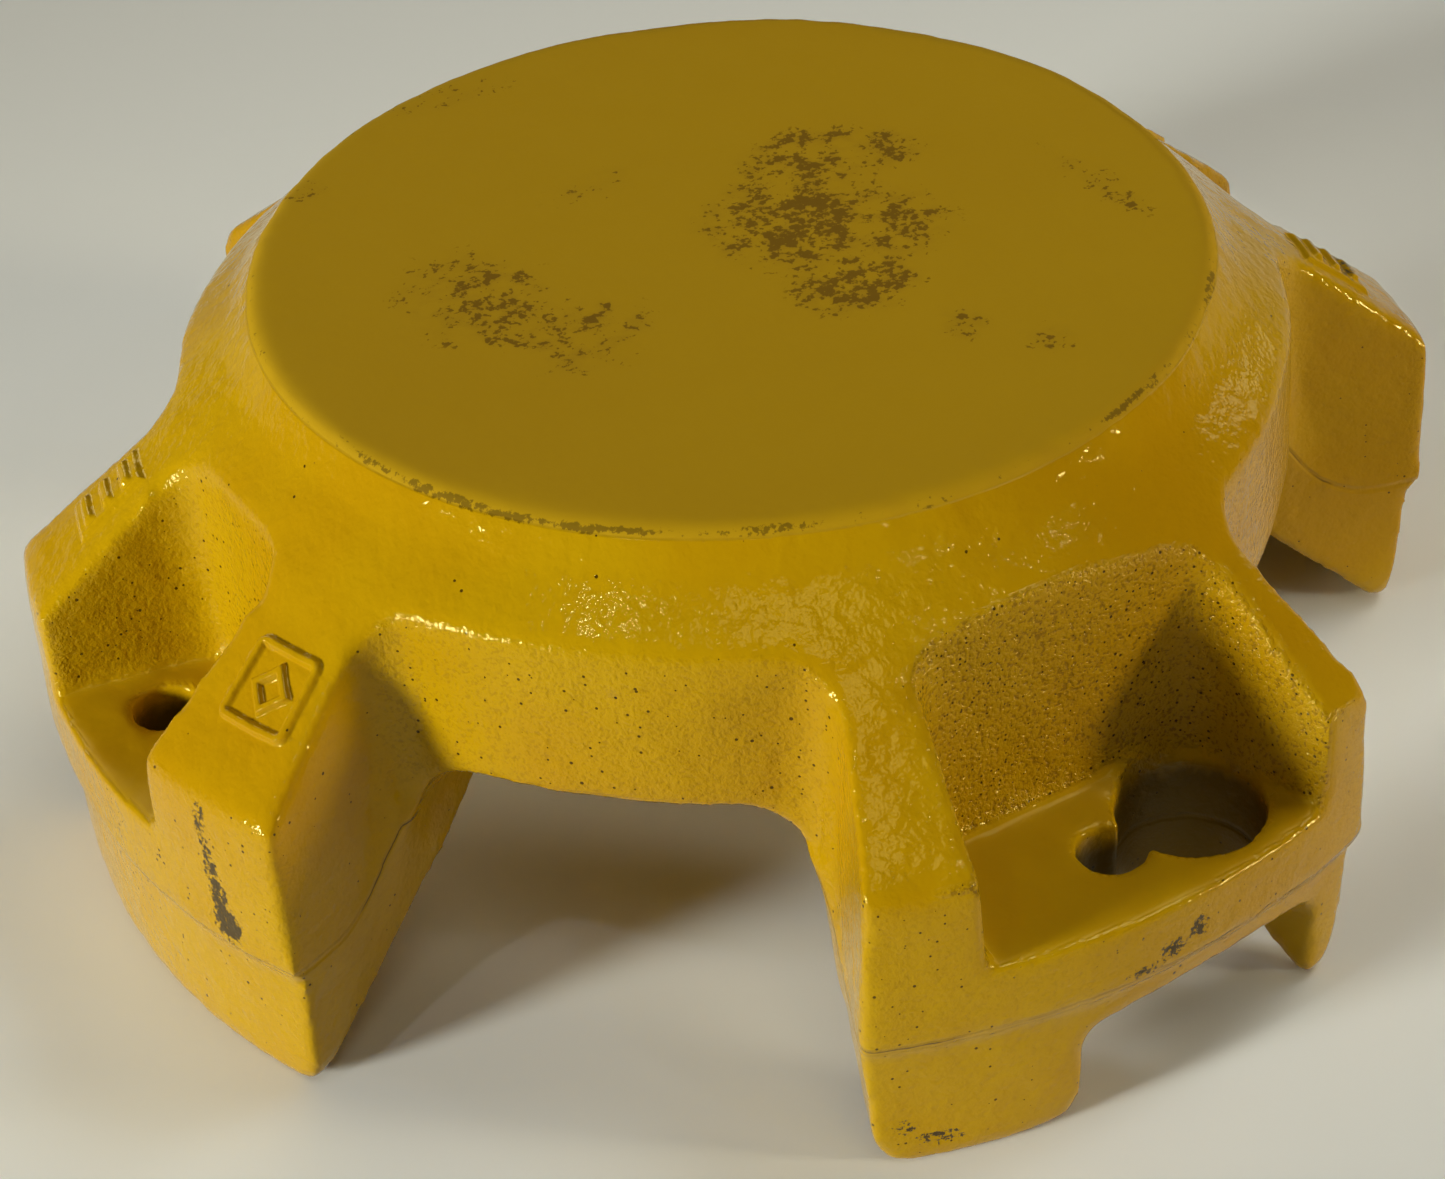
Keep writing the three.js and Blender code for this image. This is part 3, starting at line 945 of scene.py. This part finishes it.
# Studio lights: direction round the part, height and beam spread (degrees), distance and size
# (metres), power (watts) and colour. Narrow beams keep the low lights off the floor near them.
LIGHTS = {
    "key_left": (180.5, 10.5, 30.0, 3.5, 0.73, 4.95, (0.98, 1.0, 0.76)),
    "fill_right": (314.0, 9.0, 30.0, 3.5, 0.56, 1.95, (1.0, 0.88, 0.52)),
    "overhead": (340.0, 64.0, 180.0, 2.0, 0.6, 6.6, (0.97, 1.0, 0.8)),
    "front_high": (250.0, 60.0, 180.0, 2.0, 0.56, 2.2, (1.0, 0.95, 0.6)),
    "glint_left": (202.0, 58.0, 180.0, 2.0, 0.045, 1.3, (1.0, 1.0, 0.9)),
    "glint_front": (282.0, 46.0, 180.0, 2.0, 0.035, 0.6, (1.0, 1.0, 0.9)),
    "glint_right": (320.0, 49.0, 180.0, 2.0, 0.035, 0.6, (1.0, 1.0, 0.9)),
    "rear": (92.0, 28.0, 60.0, 2.0, 0.9, 0.7, (1.0, 0.9, 0.55)),
    "rear_right": (8.0, 28.0, 60.0, 2.0, 0.9, 0.55, (1.0, 0.9, 0.55)),
}
LIGHT_AIM = Vector((0.0, 0.0, 0.07))


def make_lights():
    for name, (around, height, spread, distance, size, power, colour) in LIGHTS.items():
        around = math.radians(around)
        height = math.radians(height)
        way = Vector(
            (
                math.cos(around) * math.cos(height),
                math.sin(around) * math.cos(height),
                math.sin(height),
            )
        )
        data = bpy.data.lights.new(name, "AREA")
        data.shape = "DISK"
        data.size = size
        data.spread = math.radians(spread)
        data.energy = power
        data.color = colour
        light = bpy.data.objects.new(name, data)
        bpy.context.scene.collection.objects.link(light)
        light.location = LIGHT_AIM + way * distance
        light.rotation_euler = (-way).to_track_quat("-Z", "Y").to_euler()


# Room: its strength at the horizon and above, where it has faded, and its colour.
ROOM_LOW = 0.42
ROOM_HIGH = 0.04
ROOM_FADE = 0.15
ROOM_COLOUR = (1.0, 0.94, 0.7, 1.0)


def make_world():
    """Dim studio room that is paler towards the floor."""
    world = bpy.data.worlds.new("studio")
    world.use_nodes = True
    nodes = world.node_tree.nodes
    links = world.node_tree.links
    place = nodes.new("ShaderNodeTexCoord")
    split = nodes.new("ShaderNodeSeparateXYZ")
    ramp = nodes.new("ShaderNodeMapRange")
    ramp.interpolation_type = "SMOOTHSTEP"
    ramp.inputs["From Min"].default_value = 0.0
    ramp.inputs["From Max"].default_value = ROOM_FADE
    ramp.inputs["To Min"].default_value = ROOM_LOW
    ramp.inputs["To Max"].default_value = ROOM_HIGH
    background = nodes["Background"]
    background.inputs["Color"].default_value = ROOM_COLOUR
    links.new(place.outputs["Generated"], split.inputs[0])
    links.new(split.outputs["Z"], ramp.inputs["Value"])
    links.new(ramp.outputs["Result"], background.inputs["Strength"])
    bpy.context.scene.world = world


# Camera: it looks from the left of the front and from above. Angles are in degrees, the distance
# and target in metres and the lens in millimetres.
CAMERA_AZIMUTH = -29.93
CAMERA_ELEVATION = 36.73
CAMERA_ROLL = -3.64
CAMERA_DISTANCE = 1.0406
CAMERA_TARGET = (-0.01845, -0.01692, 0.060)
CAMERA_LENS = 92.78
SENSOR_WIDTH = 36.0
CAMERA_CLIP = (0.05, 50.0)


def make_camera():
    azimuth = math.radians(CAMERA_AZIMUTH)
    elevation = math.radians(CAMERA_ELEVATION)
    back = Vector(
        (
            math.sin(azimuth) * math.cos(elevation),
            -math.cos(azimuth) * math.cos(elevation),
            math.sin(elevation),
        )
    )
    right = (-back).cross(Vector((0, 0, 1))).normalized()
    up = back.cross(right)
    level = Matrix((right, up, back)).transposed()
    turned = level @ Matrix.Rotation(math.radians(CAMERA_ROLL), 3, "Z")
    data = bpy.data.cameras.new("camera")
    data.lens = CAMERA_LENS
    data.sensor_width = SENSOR_WIDTH
    data.sensor_fit = "HORIZONTAL"
    data.clip_start, data.clip_end = CAMERA_CLIP
    camera = bpy.data.objects.new("camera", data)
    bpy.context.scene.collection.objects.link(camera)
    place = Vector(CAMERA_TARGET) + CAMERA_DISTANCE * back
    camera.matrix_world = Matrix.Translation(place) @ turned.to_4x4()
    bpy.context.scene.camera = camera


# ---- Scene --------------------------------------------------------------------------------

make_camera()
make_floor()
make_lights()
make_world()

casting = make_casting()
paint_zones(casting)
casting.data.materials.append(enamel_material())
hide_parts(CASTING)
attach(casting, "root")

bpy.context.scene.view_settings.view_transform = "Standard"
